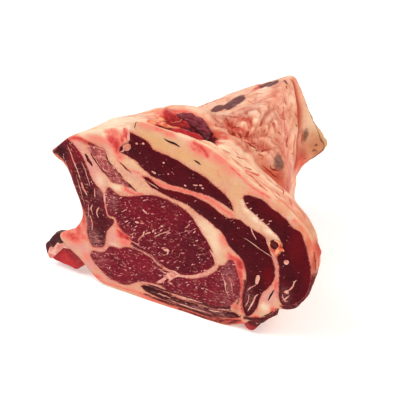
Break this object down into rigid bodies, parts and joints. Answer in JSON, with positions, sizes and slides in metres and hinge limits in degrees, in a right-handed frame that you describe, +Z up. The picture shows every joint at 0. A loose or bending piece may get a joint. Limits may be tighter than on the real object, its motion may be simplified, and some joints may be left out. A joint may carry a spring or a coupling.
{
  "type": "beef loin joint",
  "caption": "Raw beef joint on its underside, sawn face forward, with separate muscles running through a body of fat, a fat flap behind and a bone-end scrap at the left.",
  "frame": {"origin": "on the flat underside, below the middle of the joint", "axes": "+X to the right along the sawn face, +Y from the sawn face into the joint, +Z up"},
  "size_m": [0.3095, 0.185, 0.2091],
  "materials": {
    "fat": "raw beef fat, cream to peach, slightly moist",
    "dark_meat": "dark raw beef muscle, moist",
    "eye_meat": "raw beef eye muscle with fine marbling, moist",
    "light_meat": "lighter raw beef muscle, moist"
  },
  "bodies": {
    "root": {"fat_body": "fat", "upper_band": "dark_meat", "middle_band": "dark_meat", "outer_muscle": "dark_meat", "eye_muscle": "eye_meat", "lower_muscle": "light_meat", "chine_muscle": "dark_meat", "small_strip": "eye_meat", "rib_layer": "eye_meat", "stub_upper": "dark_meat", "stub_lower": "light_meat", "stub_fat": "fat", "lower_scrap": "light_meat"}
  },
  "joints": []
}
